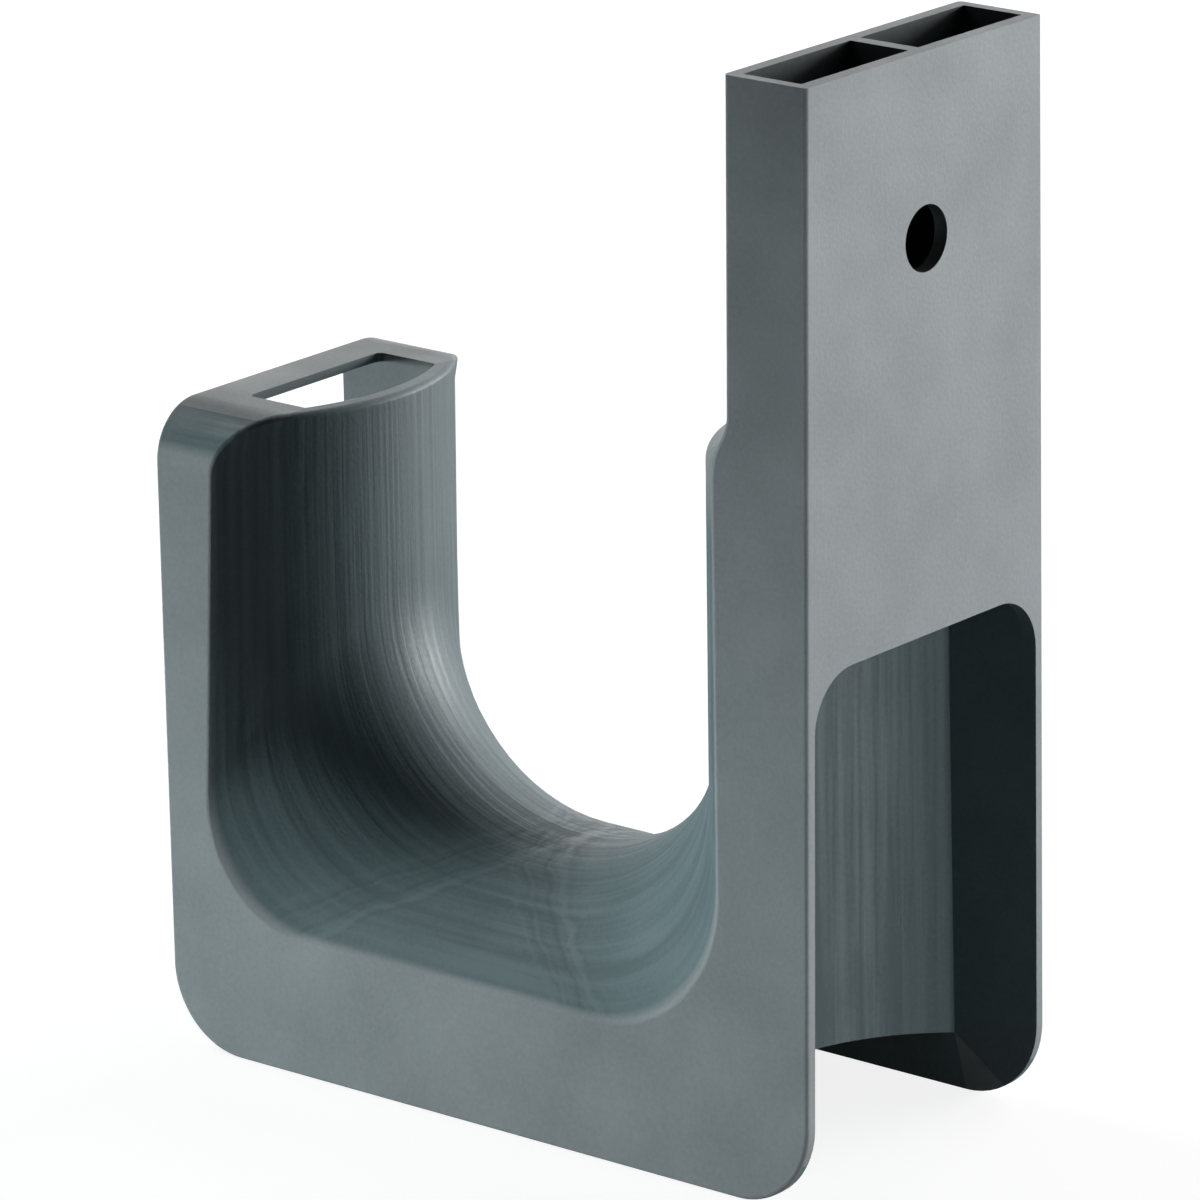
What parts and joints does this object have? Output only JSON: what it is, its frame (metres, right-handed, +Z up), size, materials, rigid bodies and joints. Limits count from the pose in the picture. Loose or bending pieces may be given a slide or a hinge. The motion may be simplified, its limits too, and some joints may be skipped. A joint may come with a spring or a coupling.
{
  "type": "j hook cable support",
  "caption": "One-piece moulded wall hook that carries a bundle of data cables over a wide curved saddle, with a screw post behind and a raised tip with a tie hole in front.",
  "frame": {"origin": "middle of the screw hole on the flat wall face", "axes": "+Z up, +Y into the wall, the hook reaches out along -Y, the cables run along X"},
  "size_m": [0.041, 0.0875, 0.1184],
  "materials": {
    "moulded_nylon": "satin slate grey"
  },
  "bodies": {
    "root": {"hook_body": "moulded_nylon"}
  },
  "joints": []
}
